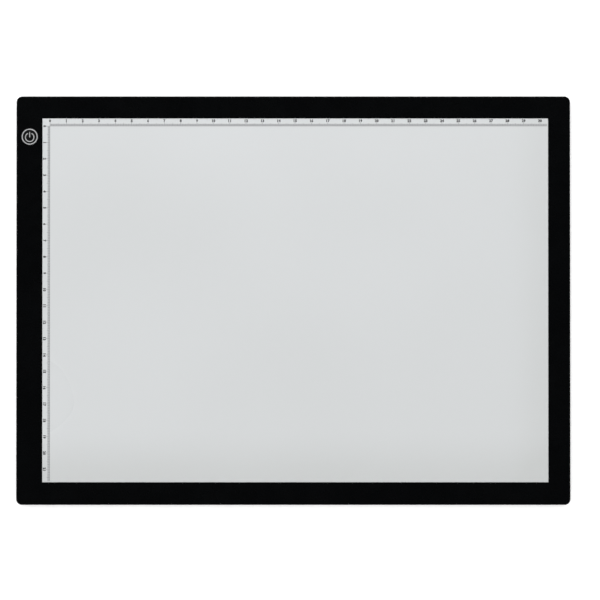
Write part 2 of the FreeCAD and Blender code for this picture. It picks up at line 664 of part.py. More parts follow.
def chip_leg(x, face_y, side):
    """One bent leg: out of the package's side, down, and out again along the board."""
    middle = CHIP_SIZE[2] / 2
    half = CHIP_LEG_THICKNESS / 2
    inner_knee = CHIP_LEG_KNEE - CHIP_LEG_THICKNESS
    profile = [(0, middle - half), (inner_knee, middle - half), (inner_knee, 0), (CHIP_LEG_REACH, 0),
               (CHIP_LEG_REACH, CHIP_LEG_THICKNESS), (CHIP_LEG_KNEE, CHIP_LEG_THICKNESS),
               (CHIP_LEG_KNEE, middle + half), (0, middle + half)]
    corners = [Vector(x - CHIP_LEG_WIDTH / 2, face_y + side * out, Z_BOARD_TOP + up)
               for out, up in profile]
    wire = Part.makePolygon(corners + corners[:1])
    return Part.Face(wire).extrude(Vector(CHIP_LEG_WIDTH, 0, 0))


def chip_legs():
    x, y = CHIP_AT
    legs = []
    for side in (-1, 1):
        for index in range(CHIP_LEGS_PER_SIDE):
            leg_x = x + (index - (CHIP_LEGS_PER_SIDE - 1) / 2) * CHIP_LEG_PITCH
            legs.append(chip_leg(leg_x, y + side * CHIP_SIZE[1] / 2, side))
    return legs


def inductor_core():
    """A drum core: two square flanges on a round post."""
    length, width, height = INDUCTOR_SIZE
    lower = block_at(INDUCTOR_AT, (length, width, INDUCTOR_LIP), Z_BOARD_TOP)
    upper = block_at(INDUCTOR_AT, (length, width, INDUCTOR_LIP), Z_BOARD_TOP + height - INDUCTOR_LIP)
    post = disc(INDUCTOR_AT, INDUCTOR_CORE_RADIUS, Z_BOARD_TOP, Z_BOARD_TOP + height)
    return fuse_all(post, [lower, upper])


def inductor_winding():
    low = Z_BOARD_TOP + INDUCTOR_LIP
    high = Z_BOARD_TOP + INDUCTOR_SIZE[2] - INDUCTOR_LIP
    outside = disc(INDUCTOR_AT, INDUCTOR_WINDING_RADIUS, low, high)
    return outside.cut(disc(INDUCTOR_AT, INDUCTOR_CORE_RADIUS, low, high))


def chip_body(spot, size, cap):
    """The body of a two-ended chip part, between its end caps."""
    length, width, height = size
    return block_at(spot, (length, width - 2 * cap, height), Z_BOARD_TOP)


def end_caps(spot, size, cap):
    """The two metal end caps of a chip part, at its ends along Y."""
    x, y = spot
    length, width, height = size
    return [block_at((x, y + side * (width - cap) / 2), (length, cap, height), Z_BOARD_TOP)
            for side in (-1, 1)]


def part_terminals():
    """The end caps of every chip part on the board."""
    caps = end_caps(DIODE_AT, DIODE_SIZE, DIODE_CAP)
    for spot in CAPACITORS_AT:
        caps += end_caps(spot, CAPACITOR_SIZE, CAPACITOR_CAP)
    for spot in RESISTORS_AT:
        caps += end_caps(spot, RESISTOR_SIZE, RESISTOR_CAP)
    return caps


def connector_back():
    """The place along Y of the face that the leads leave from."""
    return CONNECTOR_AT[1] + CONNECTOR_SIZE[1] / 2


def led_connector():
    """The two-pin header, with a round mouth for each lead."""
    header = block_at(CONNECTOR_AT, CONNECTOR_SIZE, Z_BOARD_TOP)
    for x in (RED_LEAD_X, BLACK_LEAD_X):
        start = Vector(x, connector_back() - CONNECTOR_MOUTH_DEPTH, LEAD_EXIT_Z)
        mouth = Part.makeCylinder(CONNECTOR_MOUTH_RADIUS, CONNECTOR_MOUTH_DEPTH, start, Vector(0, 1, 0))
        header = header.cut(mouth)
    return header


# ---- Power key and its switch --------------------------------------------------------------

def power_key():
    middle = (KEY_X, KEY_Y)
    cap = disc(middle, KEY_RADIUS, Z_KEY_FLANGE, Z_PANEL_TOP)
    cap = cap.makeFillet(KEY_EDGE_ROUND, edges_at_height(cap, Z_PANEL_TOP))
    flange = disc(middle, KEY_FLANGE_RADIUS, Z_KEY_FLANGE, Z_KEY_FLANGE_TOP)
    beyond_flat = Rect(KEY_X + KEY_FLANGE_FLAT, KEY_X + KEY_FLANGE_RADIUS,
                       KEY_Y - KEY_FLANGE_RADIUS, KEY_Y + KEY_FLANGE_RADIUS)
    flange = flange.cut(block(beyond_flat, Z_KEY_FLANGE, Z_KEY_FLANGE_TOP))
    return fuse_all(cap, [flange])


def switch_footprint():
    half = SWITCH_SIZE / 2
    return Rect(KEY_X - half, KEY_X + half, KEY_Y - half, KEY_Y + half)


def switch_base():
    body = rounded_block(switch_footprint(), Z_BOARD_TOP, Z_SWITCH_TOP, SWITCH_CORNER_RADIUS)
    well = disc((KEY_X, KEY_Y), SWITCH_WELL_RADIUS, Z_BOARD_TOP + SWITCH_FLOOR, Z_SWITCH_TOP)
    return body.cut(well)


def switch_cover():
    plate = rounded_block(switch_footprint(), Z_SWITCH_TOP, Z_COVER_PLATE_TOP, SWITCH_CORNER_RADIUS)
    return plate.cut(disc((KEY_X, KEY_Y), PLUNGER_HOLE_RADIUS, Z_SWITCH_TOP, Z_COVER_PLATE_TOP))


def switch_plunger():
    middle = (KEY_X, KEY_Y)
    shoulder_top = Z_SWITCH_TOP - PLUNGER_TOP_GAP
    shoulder = disc(middle, PLUNGER_SHOULDER_RADIUS, shoulder_top - PLUNGER_SHOULDER, shoulder_top)
    pin = disc(middle, PLUNGER_RADIUS, shoulder_top - PLUNGER_SHOULDER, Z_PLUNGER_TOP)
    return fuse_all(pin, [shoulder])


def switch_dome():
    """A thin spherical cap between the switch's floor and the plunger's shoulder."""
    floor = Z_BOARD_TOP + SWITCH_FLOOR
    crown = Z_SWITCH_TOP - PLUNGER_TOP_GAP - PLUNGER_SHOULDER - DOME_GAP
    rise = crown - floor - DOME_THICKNESS
    inner_radius = (DOME_RADIUS ** 2 + rise ** 2) / (2 * rise)
    centre = Vector(KEY_X, KEY_Y, floor + rise - inner_radius)
    outer_ball = Part.makeSphere(inner_radius + DOME_THICKNESS, centre)
    inner_ball = Part.makeSphere(inner_radius, centre)
    slab = disc((KEY_X, KEY_Y), DOME_RADIUS, floor, crown)
    return outer_ball.cut(inner_ball).common(slab)


def switch_terminals():
    length = TERMINAL_SIZE[0]
    feet = []
    for side_x in (-1, 1):
        for side_y in (-1, 1):
            x = KEY_X + side_x * (SWITCH_SIZE / 2 + length / 2)
            y = KEY_Y + side_y * TERMINAL_OFFSET_Y
            feet.append(block_at((x, y), TERMINAL_SIZE, Z_BOARD_TOP))
    return feet


# ---- Write every node ----------------------------------------------------------------------

def main():
    os.makedirs("parts", exist_ok=True)

    save("front_bezel", front_bezel())
    save("drawing_panel", drawing_panel())
    save("panel_tape", panel_tape())
    save("back_cover", back_cover())
    save("case_screws", [case_screw(spot) for spot in CASE_SCREWS])
    for name, spot in foot_places().items():
        save(name, foot(spot))

    save("reflector_sheet", block(GUIDE, Z_FLOOR, Z_GUIDE))
    save("light_guide", block(GUIDE, Z_GUIDE, Z_DIFFUSER))
    save("diffuser_sheet", block(rim_outline(0.0), Z_DIFFUSER, Z_PANEL))
    for name, shape in edge_reflectors().items():
        save(name, shape)
    save("led_board", led_board())
    save("leds", leds())
    save("led_strip_tape", led_strip_tape())
    save("led_lead_red", lead(RED_LEAD_X, RED_LEAD_ROUTE, RED_LEAD_END_Z))
    save("led_lead_black", lead(BLACK_LEAD_X, BLACK_LEAD_ROUTE, BLACK_LEAD_END_Z))
    save("led_connector", led_connector())

    save("control_board", control_board())
    save("board_screws", [board_screw(spot) for spot in BOARD_SCREWS])
    save("usb_shell", usb_shell())
    save("usb_tongue", usb_tongue())
    save("usb_contacts", usb_contacts())
    save("driver_chip", block_at(CHIP_AT, CHIP_SIZE, Z_BOARD_TOP))
    save("chip_legs", chip_legs())
    save("inductor_core", inductor_core())
    save("inductor_winding", inductor_winding())
    save("schottky_diode", chip_body(DIODE_AT, DIODE_SIZE, DIODE_CAP))
    save("capacitors", [chip_body(spot, CAPACITOR_SIZE, CAPACITOR_CAP) for spot in CAPACITORS_AT])
    save("resistors", [chip_body(spot, RESISTOR_SIZE, RESISTOR_CAP) for spot in RESISTORS_AT])
    save("part_terminals", part_terminals())

    save("power_key", power_key())
    save("switch_base", switch_base())
    save("switch_cover", switch_cover())
    save("switch_plunger", switch_plunger())
    save("switch_dome", switch_dome())
    save("switch_terminals", switch_terminals())


main()
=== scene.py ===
import math

import bmesh
import bpy
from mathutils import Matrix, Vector


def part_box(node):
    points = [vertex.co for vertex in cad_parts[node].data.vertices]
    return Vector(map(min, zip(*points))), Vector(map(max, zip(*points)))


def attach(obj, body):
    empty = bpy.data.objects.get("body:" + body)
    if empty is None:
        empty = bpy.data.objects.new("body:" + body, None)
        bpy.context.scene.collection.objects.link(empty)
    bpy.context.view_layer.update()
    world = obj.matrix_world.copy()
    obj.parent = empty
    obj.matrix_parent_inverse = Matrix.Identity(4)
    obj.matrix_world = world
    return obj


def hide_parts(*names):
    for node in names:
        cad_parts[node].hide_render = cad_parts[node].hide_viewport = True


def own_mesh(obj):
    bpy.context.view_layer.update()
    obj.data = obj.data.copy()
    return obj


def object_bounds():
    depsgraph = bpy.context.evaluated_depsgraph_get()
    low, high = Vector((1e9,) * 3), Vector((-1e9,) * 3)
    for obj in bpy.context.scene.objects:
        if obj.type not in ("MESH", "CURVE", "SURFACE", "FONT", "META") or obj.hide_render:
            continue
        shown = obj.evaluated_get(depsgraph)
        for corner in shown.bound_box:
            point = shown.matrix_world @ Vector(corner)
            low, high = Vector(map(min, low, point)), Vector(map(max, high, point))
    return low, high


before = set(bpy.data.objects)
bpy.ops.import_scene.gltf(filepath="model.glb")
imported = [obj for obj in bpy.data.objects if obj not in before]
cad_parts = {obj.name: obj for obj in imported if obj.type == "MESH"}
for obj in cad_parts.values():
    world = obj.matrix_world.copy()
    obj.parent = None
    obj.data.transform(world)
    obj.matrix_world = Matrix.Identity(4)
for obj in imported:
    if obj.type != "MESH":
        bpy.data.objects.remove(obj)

CAD_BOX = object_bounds()

# The looks of a slim LED light box: its materials, the printed centimetre scales, the power mark, the
# floor, the lights and the camera. Everything is in metres, in the frame of the CAD model: +X to the
# right along the long side, +Y towards the back edge, +Z up out of the drawing panel.

MM = 0.001

INK_THICKNESS = 0.035 * MM       # of every printed mark, so that it stays below the bezel's face
TINT_THICKNESS = 0.015 * MM      # of the grey tint under the scales' marks

WELD_DISTANCE = 0.0005 * MM      # corner points of a print this close to each other are one point
TINY = 0.001 * MM                # anything shorter counts as nothing

# The drawing panel's painted light and shade: how far each band of it reaches in from its edge
PAINTED_LIGHT_BACK_REACH = 70 * MM
PAINTED_SHADE_FRONT_REACH = 34 * MM
PAINTED_SHADE_RIGHT_REACH = 26 * MM

# The printed scales. Both start from one corner point, a little inside the panel's back left corner.
SCALE_INSET_X = 4.55 * MM
SCALE_INSET_Y = 4.65 * MM
TOP_SCALE_CM = 30
LEFT_SCALE_CM = 21
TOP_OVERRUN_MM = 4               # millimetre marks after the last number
LEFT_OVERRUN_MM = 7
MM_PER_CM = 10
BASELINE_WIDTH = 0.12 * MM
TINT_WIDTH = 1.45 * MM
TICK_WIDTH = 0.14 * MM
TICK_LENGTH_MM = 1.35 * MM       # of the marks for millimetres, fives and centimetres
TICK_LENGTH_5_MM = 1.8 * MM
TICK_LENGTH_CM = 2.35 * MM
NUMBER_HEIGHT = 1.8 * MM
NUMBER_OFFSET = 3.3 * MM         # from the baseline to the middle of the numbers
NUMBER_BOLDNESS = 0.065          # of the strokes, as a share of the type size
NUMBER_SPACING = 1.1             # between the digits, as a share of the usual
NUMBER_CURVE_STEPS = 2           # in each curved stretch of a digit
SLIVER_AREA = 1e-6               # of a face that counts as empty, in the type's own units

# The power mark on the key
RING_RADIUS = 4.58 * MM
RING_WIDTH = 0.60 * MM
ARC_RADIUS = 2.6 * MM
ARC_WIDTH = 0.55 * MM
ARC_DROP = 0.35 * MM             # of the arc's centre below the ring's
ARC_GAP = math.radians(30)       # half of the opening at the top
BAR_BOTTOM = -0.45 * MM
BAR_TOP = 2.9 * MM
BAR_WIDTH = 0.58 * MM
CAP_STEPS = 8                    # of each round stroke end
RING_STEPS = 96
ARC_STEPS = 64

# The snap dome in the key's switch
DOME_SHEET = 0.1 * MM
DOME_RINGS = 8
DOME_FACETS = 48

# The floor and the lights
FLOOR_RADIUS = 40.0
FLOOR_SIDES = 48
SOFTBOX_WIDTH = 0.8              # as a share of the softbox's distance
SOFTBOX_HEIGHT = 0.4
SOFTBOX_ELEVATION = 37           # degrees
OVERHEAD_SPREAD = math.radians(100)
OVERHEAD_STRENGTH = 2.5
HORIZON_STRENGTH = 1.15          # of the studio's walls
CEILING_STRENGTH = 0.02

# The camera
CAMERA_DISTANCE = 1.6
SENSOR_WIDTH = 36 * MM
PICTURE_SPAN = 367.1 * MM        # what the picture's side covers in the plane of the panel
CAMERA_AIM = Vector((4.1 * MM, 0.3 * MM, 0))
CAMERA_LEAN = math.radians(0.6)  # towards the front edge


# ---- Node helpers --------------------------------------------------------------------------

def new_material(name):
    """A material with a Principled shader: returns the material, its node tree and the shader."""
    material = bpy.data.materials.new(name)
    material.use_nodes = True
    tree = material.node_tree
    return material, tree, tree.nodes["Principled BSDF"]


def place(tree):
    """Coordinates in metres, in the object's own frame."""
    return tree.nodes.new("ShaderNodeTexCoord").outputs["Object"]


def noise(tree, vector, per_metre, detail):
    """Cloudy noise from 0 to 1, with about so many clouds to a metre."""
    texture = tree.nodes.new("ShaderNodeTexNoise")
    texture.inputs["Scale"].default_value = per_metre
    texture.inputs["Detail"].default_value = detail
    tree.links.new(vector, texture.inputs["Vector"])
    return texture.outputs["Fac"]


def spread(tree, value, low, high, from_low=0.3, from_high=0.7):
    """Maps a value from one range to another, smoothly at its ends."""
    node = tree.nodes.new("ShaderNodeMapRange")
    node.interpolation_type = "SMOOTHSTEP"
    node.inputs["From Min"].default_value = from_low
    node.inputs["From Max"].default_value = from_high
    node.inputs["To Min"].default_value = low
    node.inputs["To Max"].default_value = high
    tree.links.new(value, node.inputs["Value"])
    return node.outputs["Result"]


def added(tree, first, second):
    """The sum of two values."""
    node = tree.nodes.new("ShaderNodeMath")
    node.operation = "ADD"
    tree.links.new(first, node.inputs[0])
    tree.links.new(second, node.inputs[1])
    return node.outputs["Value"]


def blend_colours(tree, factor, first, second):
    """A colour between two others, which are plain colours or sockets."""
    node = tree.nodes.new("ShaderNodeMix")
    node.data_type = "RGBA"
    tree.links.new(factor, node.inputs["Factor"])
    colour_a, colour_b, colour_result = node.inputs[6], node.inputs[7], node.outputs[2]
    for socket, value in ((colour_a, first), (colour_b, second)):
        if isinstance(value, tuple):
            socket.default_value = (*value, 1.0)
        else:
            tree.links.new(value, socket)
    return colour_result


def add_bump(tree, shader, height, depth):
    """Raises the surface by a depth where height is 1."""
    node = tree.nodes.new("ShaderNodeBump")
    node.inputs["Strength"].default_value = 1.0
    node.inputs["Distance"].default_value = depth
    tree.links.new(height, node.inputs["Height"])
    tree.links.new(node.outputs["Normal"], shader.inputs["Normal"])


def axis_value(tree, vector, axis):
    """One coordinate of a vector: X, Y or Z."""
    node = tree.nodes.new("ShaderNodeSeparateXYZ")
    tree.links.new(vector, node.inputs["Vector"])
    return node.outputs[axis]


def toned(name, dark, light, roughness, grain, grain_depth, patch=60.0, specular=0.5):
    """A surface with slow changes of tone, uneven gloss and a fine grain.

    grain is how many grains go into a metre, and grain_depth how deep they are. patch is how many
    patches of one tone go into a metre.
    """
    material, tree, shader = new_material(name)
    vector = place(tree)
    tone = spread(tree, noise(tree, vector, patch, 4.0), 0.0, 1.0)
    tree.links.new(blend_colours(tree, tone, dark, light), shader.inputs["Base Color"])
    gloss = spread(tree, noise(tree, vector, patch * 3, 5.0), roughness[0], roughness[1])
    tree.links.new(gloss, shader.inputs["Roughness"])
    add_bump(tree, shader, noise(tree, vector, grain, 2.0), grain_depth)
    shader.inputs["Specular IOR Level"].default_value = specular
    return material


# ---- Materials -----------------------------------------------------------------------------

def black_abs():
    """The bezel: deep black ABS with a fine satin texture."""
    return toned("black_abs", (0.0008, 0.0010, 0.0012), (0.0011, 0.0013, 0.0015), (0.26, 0.29),
                 grain=4200.0, grain_depth=0.0006 * MM, specular=0.2)


def black_abs_back():
    """The back cover: the same plastic with a coarser spark texture."""
    return toned("black_abs_back", (0.0042, 0.0043, 0.0046), (0.0052, 0.0053, 0.0056), (0.52, 0.57),
                 grain=1500.0, grain_depth=0.012 * MM, patch=30.0, specular=0.3)


def key_black():
    """The power key: black plastic, a little paler than the bezel."""
    return toned("key_black", (0.0028, 0.0029, 0.0031), (0.0038, 0.0039, 0.0041), (0.30, 0.36),
                 grain=4200.0, grain_depth=0.0008 * MM, specular=0.22)


def opal_acrylic(face):
    """The drawing panel: milky acrylic with a satin face. Light and shade are painted into its colour: it is
    a little lighter near the back edge and a little darker near the front and right edges. It also has very
    faint cloudy patches."""
    material, tree, shader = new_material("opal_acrylic")
    vector = place(tree)
    low, high = face
    along_x = axis_value(tree, vector, "X")
    along_y = axis_value(tree, vector, "Y")
    # Painted light and shade: lighter near the back edge, darker near the front and right edges.
    painted_shade_off_back = spread(tree, along_y, 0.17, 0.0, high.y - PAINTED_LIGHT_BACK_REACH, high.y)
    painted_shade_near_front = spread(tree, along_y, 0.57, 0.0, low.y, low.y + PAINTED_SHADE_FRONT_REACH)
    painted_shade_near_right = spread(tree, along_x, 0.0, 0.33, high.x - PAINTED_SHADE_RIGHT_REACH, high.x)
    cloud_and_painted_shade = spread(tree, noise(tree, vector, 8.0, 1.0), 0.0, 0.22, 0.2, 0.8)
    for painted_shade in (painted_shade_off_back, painted_shade_near_front, painted_shade_near_right):
        cloud_and_painted_shade = added(tree, cloud_and_painted_shade, painted_shade)
    tone = blend_colours(tree, cloud_and_painted_shade, (0.571, 0.586, 0.594), (0.484, 0.497, 0.494))
    tree.links.new(tone, shader.inputs["Base Color"])
    gloss = spread(tree, noise(tree, vector, 9.0, 1.0), 0.27, 0.30, 0.2, 0.8)
    tree.links.new(gloss, shader.inputs["Roughness"])
    add_bump(tree, shader, noise(tree, vector, 3500.0, 1.0), 0.0002 * MM)
    shader.inputs["Specular IOR Level"].default_value = 0.4
    return material


def clear_acrylic():
    """The light guide: clear acrylic with a grid of white dots printed on its underside."""
    material, tree, shader = new_material("clear_acrylic")
    vector = place(tree)
    dots = tree.nodes.new("ShaderNodeTexVoronoi")
    dots.inputs["Scale"].default_value = 650.0
    dots.inputs["Randomness"].default_value = 0.0
    tree.links.new(vector, dots.inputs["Vector"])
    dot = spread(tree, dots.outputs["Distance"], 1.0, 0.0, 0.22, 0.30)
    tone = blend_colours(tree, dot, (0.78, 0.83, 0.84), (0.92, 0.93, 0.93))
    tree.links.new(tone, shader.inputs["Base Color"])
    tree.links.new(spread(tree, dot, 0.06, 0.5, 0.0, 1.0), shader.inputs["Roughness"])
    shader.inputs["IOR"].default_value = 1.49
    return material


def film(name, dark, light, roughness):
    """Plastic film and tape."""
    return toned(name, dark, light, roughness, grain=2500.0, grain_depth=0.004 * MM)


def rubber():
    """The feet: dull black rubber."""
    return toned("foot_rubber", (0.010, 0.010, 0.011), (0.020, 0.020, 0.021), (0.72, 0.85),
                 grain=2200.0, grain_depth=0.05 * MM, patch=220.0, specular=0.35)


def metal(name, dark, light, roughness):
    """Plated metal with faint cloudy handling marks."""
    material, tree, shader = new_material(name)
    vector = place(tree)
    marks = spread(tree, noise(tree, vector, 260.0, 2.0), 0.0, 1.0, 0.15, 0.85)
    tree.links.new(blend_colours(tree, marks, dark, light), shader.inputs["Base Color"])
    tree.links.new(spread(tree, marks, roughness[0], roughness[1], 0.0, 1.0), shader.inputs["Roughness"])
    shader.inputs["Metallic"].default_value = 1.0
    return material


def copper_wire():
    """Turns of fine enamelled wire, wound round Z."""
    material, tree, shader = new_material("enamelled_copper")
    turns = tree.nodes.new("ShaderNodeTexWave")
    turns.wave_type = "BANDS"
    turns.bands_direction = "Z"
    turns.inputs["Scale"].default_value = 1400.0
    tree.links.new(place(tree), turns.inputs["Vector"])
    tone = blend_colours(tree, turns.outputs["Fac"], (0.20, 0.055, 0.018), (0.52, 0.20, 0.07))
    tree.links.new(tone, shader.inputs["Base Color"])
    tree.links.new(spread(tree, turns.outputs["Fac"], 0.42, 0.25, 0.0, 1.0), shader.inputs["Roughness"])
    add_bump(tree, shader, turns.outputs["Fac"], 0.04 * MM)
    shader.inputs["Metallic"].default_value = 0.8
    return material


def moulded(name, dark, light, roughness=(0.40, 0.55)):
    """Small moulded pieces: nylon, epoxy, insulation."""
    return toned(name, dark, light, roughness, grain=5200.0, grain_depth=0.006 * MM, patch=500.0)


def cells(tree, vector, per_metre, feature):
    """A distance in a pattern of uneven cells: to their edges or to their middles (F1)."""
    texture = tree.nodes.new("ShaderNodeTexVoronoi")
    texture.feature = feature
    texture.inputs["Scale"].default_value = per_metre
    tree.links.new(vector, texture.inputs["Vector"])
    return texture.outputs["Distance"]


def circuit_board(name, mask, copper):
    """A board: areas of copper under the solder mask, the gaps between them, and tinned vias."""
    material, tree, shader = new_material(name)
    vector = place(tree)
    pour = spread(tree, cells(tree, vector, 300.0, "DISTANCE_TO_EDGE"), 0.0, 1.0, 0.03, 0.07)
    via = spread(tree, cells(tree, vector, 380.0, "F1"), 1.0, 0.0, 0.11, 0.14)
    tone = blend_colours(tree, via, blend_colours(tree, pour, mask, copper), (0.55, 0.55, 0.53))
    tree.links.new(tone, shader.inputs["Base Color"])
    gloss = spread(tree, noise(tree, vector, 700.0, 2.0), 0.26, 0.36)
    tree.links.new(gloss, shader.inputs["Roughness"])
    add_bump(tree, shader, pour, 0.02 * MM)
    return material


def printed_ink(name, dark, light):
    """Screen-printed ink: nearly even, with the faint pinholes of the mesh."""
    return toned(name, dark, light, (0.45, 0.60), grain=9000.0, grain_depth=0.003 * MM, patch=900.0,
                 specular=0.3)


def pale_floor():
    """The floor: matt white paper that glows faintly, so that it stays white under the camera."""
    material, tree, shader = new_material("pale_floor")
    vector = place(tree)
    tone = spread(tree, noise(tree, vector, 3.0, 3.0), 0.0, 1.0)
    tree.links.new(blend_colours(tree, tone, (0.90, 0.90, 0.90), (0.92, 0.92, 0.92)),
                   shader.inputs["Base Color"])
    shader.inputs["Roughness"].default_value = 0.9
    shader.inputs["Specular IOR Level"].default_value = 0.1
    shader.inputs["Emission Color"].default_value = (1, 1, 1, 1)
    shader.inputs["Emission Strength"].default_value = 0.25
    return material


def dress_cad_nodes():
    """Gives every CAD node its finish."""
    panel_face = top_face("drawing_panel")
    steel = metal("plated_steel", (0.58, 0.58, 0.56), (0.64, 0.64, 0.61), (0.26, 0.32))
    tin = metal("tinned_metal", (0.60, 0.60, 0.59), (0.70, 0.70, 0.69), (0.32, 0.45))
    black_nylon = moulded("black_nylon", (0.010, 0.010, 0.010), (0.018, 0.018, 0.018))
    white_film = film("white_film", (0.84, 0.84, 0.84), (0.90, 0.90, 0.90), (0.55, 0.70))
    tape = film("adhesive_tape", (0.62, 0.62, 0.58), (0.72, 0.72, 0.68), (0.45, 0.60))
    dark_screw = metal("screw_steel", (0.045, 0.045, 0.048), (0.10, 0.10, 0.105), (0.30, 0.45))
    epoxy = moulded("chip_epoxy", (0.018, 0.018, 0.018), (0.030, 0.030, 0.030), (0.50, 0.65))
    foot = rubber()
    finishes = {
        "front_bezel": black_abs(),
        "back_cover": black_abs_back(),
        "drawing_panel": opal_acrylic(panel_face),
        "panel_tape": tape,
        "led_strip_tape": tape,
        "case_screws": dark_screw,
        "board_screws": dark_screw,
        "reflector_sheet": white_film,
        "edge_reflector_left": white_film,
        "edge_reflector_right": white_film,
        "edge_reflector_front": white_film,
        "diffuser_sheet": film("matt_film", (0.74, 0.75, 0.76), (0.82, 0.83, 0.84), (0.6, 0.75)),
        "light_guide": clear_acrylic(),
        "led_board": circuit_board("white_board", (0.74, 0.75, 0.73), (0.82, 0.82, 0.80)),
        "leds": moulded("led_package", (0.80, 0.72, 0.36), (0.88, 0.84, 0.58), (0.2, 0.35)),
        "led_lead_red": moulded("red_insulation", (0.36, 0.008, 0.008), (0.50, 0.016, 0.014), (0.3, 0.4)),
        "led_lead_black": moulded("black_insulation", (0.010, 0.010, 0.010), (0.02, 0.02, 0.02), (0.3, 0.4)),
        "led_connector": moulded("ivory_nylon", (0.62, 0.58, 0.48), (0.72, 0.69, 0.60)),
        "control_board": circuit_board("green_board", (0.012, 0.105, 0.035), (0.03, 0.20, 0.07)),
        "usb_shell": steel,
        "usb_tongue": black_nylon,
        "usb_contacts": metal("gold_contact", (0.72, 0.52, 0.20), (0.86, 0.68, 0.32), (0.2, 0.3)),
        "driver_chip": epoxy,
        "chip_legs": tin,
        "schottky_diode": epoxy,
        "resistors": epoxy,
        "part_terminals": tin,
        "inductor_core": moulded("ferrite", (0.040, 0.040, 0.043), (0.075, 0.075, 0.08), (0.55, 0.75)),
        "inductor_winding": copper_wire(),
        "capacitors": moulded("capacitor_ceramic", (0.36, 0.25, 0.15), (0.48, 0.35, 0.23), (0.35, 0.5)),
        "power_key": key_black(),
        "switch_base": black_nylon,
        "switch_cover": steel,
        "switch_plunger": moulded("plunger_nylon", (0.60, 0.56, 0.46), (0.70, 0.67, 0.58)),
        "switch_dome": steel,
        "switch_terminals": steel,
    }
    for name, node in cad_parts.items():
        node.data.materials.clear()
        node.data.materials.append(foot if name.startswith("foot_") else finishes[name])


# ---- Mesh helpers --------------------------------------------------------------------------

def top_face(node):
    """The lowest and highest corner of a CAD node's uppermost flat face."""
    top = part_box(node)[1].z
    points = [v.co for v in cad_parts[node].data.vertices if top - v.co.z < TINY]
    low = Vector((min(p.x for p in points), min(p.y for p in points), top))
    high = Vector((max(p.x for p in points), max(p.y for p in points), top))
    return low, high


def raised_print(name, flat, base_height, material, body, thickness=INK_THICKNESS):
    """Turns a flat bmesh of a printed shape into a thin solid on a surface, and adds it to the scene.

    flat lies in the plan at z = 0, and where its faces touch, their corner points coincide.
    """
    bmesh.ops.remove_doubles(flat, verts=flat.verts, dist=WELD_DISTANCE)
    bmesh.ops.recalc_face_normals(flat, faces=flat.faces)
    if sum(face.normal.z for face in flat.faces) > 0:
        bmesh.ops.reverse_faces(flat, faces=flat.faces)
    lower = list(flat.faces)
    raised = bmesh.ops.extrude_face_region(flat, geom=lower)
    moved = [item for item in raised["geom"] if isinstance(item, bmesh.types.BMVert)]
    bmesh.ops.translate(flat, verts=moved, vec=(0, 0, thickness))
    bmesh.ops.translate(flat, verts=flat.verts, vec=(0, 0, base_height))
    bmesh.ops.recalc_face_normals(flat, faces=flat.faces)
    mesh = bpy.data.meshes.new(name)
    flat.to_mesh(mesh)
    flat.free()
    mesh.materials.append(material)
    piece = bpy.data.objects.new(name, mesh)
    bpy.context.scene.collection.objects.link(piece)
    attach(piece, body)


def add_quad(flat, left, right, low, high):
    """Adds a rectangle to a flat bmesh, with its sides along X and Y."""
    corners = [(left, low), (right, low), (right, high), (left, high)]
    flat.faces.new([flat.verts.new((x, y, 0)) for x, y in corners])


def tint_strip(length_mm):
    """The strip that the millimetre marks stand on, along +X from the origin."""
    flat = bmesh.new()
    add_quad(flat, 0.0, length_mm * MM, 0.0, TINT_WIDTH)
    return flat


def tick_length(millimetre):
    """How far a mark stands up from the baseline."""
    if millimetre % MM_PER_CM == 0:
        return TICK_LENGTH_CM
    if millimetre % 5 == 0:
        return TICK_LENGTH_5_MM
    return TICK_LENGTH_MM


def scale_comb(length_mm):
    """A baseline along +X with its millimetre marks standing up along +Y, from zero at the origin."""
    flat = bmesh.new()
    half = TICK_WIDTH / 2
    for millimetre in range(length_mm + 1):
        x = millimetre * MM
        add_quad(flat, x - half, x + half, 0.0, BASELINE_WIDTH)
        add_quad(flat, x - half, x + half, BASELINE_WIDTH, tick_length(millimetre))
        if millimetre < length_mm:
            add_quad(flat, x + half, x + MM - half, 0.0, BASELINE_WIDTH)
    return flat


def dissolve_slivers(shape):
    """Joins faces without area, which the filling of a letter can leave, to their neighbours."""
    slivers = [face for face in shape.faces if face.calc_area() < SLIVER_AREA]
    longest = {max(face.edges, key=lambda edge: edge.calc_length()) for face in slivers}
    bmesh.ops.dissolve_edges(shape, edges=list(longest))


def number_shape(number, middle, turn):
    """One number as a flat bmesh, centred on a point of the plan and turned clockwise."""
    curve = bpy.data.curves.new("number", "FONT")
    curve.body = str(number)
    curve.align_x = "CENTER"
    curve.resolution_u = NUMBER_CURVE_STEPS
    curve.offset = NUMBER_BOLDNESS
    curve.space_character = NUMBER_SPACING
    text = bpy.data.objects.new("number", curve)
    bpy.context.scene.collection.objects.link(text)
    bpy.context.view_layer.update()
    mesh = bpy.data.meshes.new_from_object(text.evaluated_get(bpy.context.evaluated_depsgraph_get()))
    bpy.data.objects.remove(text)
    bpy.data.curves.remove(curve)
    shape = bmesh.new()
    shape.from_mesh(mesh)
    bpy.data.meshes.remove(mesh)
    dissolve_slivers(shape)

    low = min(v.co.y for v in shape.verts)
    high = max(v.co.y for v in shape.verts)
    size = NUMBER_HEIGHT / (high - low)
    middle_y = (low + high) / 2
    cosine, sine = math.cos(turn), math.sin(turn)
    for vert in shape.verts:
        x = vert.co.x * size
        y = (vert.co.y - middle_y) * size
        vert.co = (middle.x + x * cosine + y * sine, middle.y - x * sine + y * cosine, 0)
    return shape


def joined(shapes):
    """Several bmeshes as one."""
    whole = bmesh.new()
    for shape in shapes:
        mesh = bpy.data.meshes.new("part")
        shape.to_mesh(mesh)
        shape.free()
        whole.from_mesh(mesh)
        bpy.data.meshes.remove(mesh)
    return whole


# ---- Printed scales ------------------------------------------------------------------------

def on_scale(side, zero, along, out):
    """The point of the plan that is so far along a scale and so far out from its baseline."""
    if side == "top":
        return zero + Vector((along, out, 0))
    return zero + Vector((-out, -along, 0))


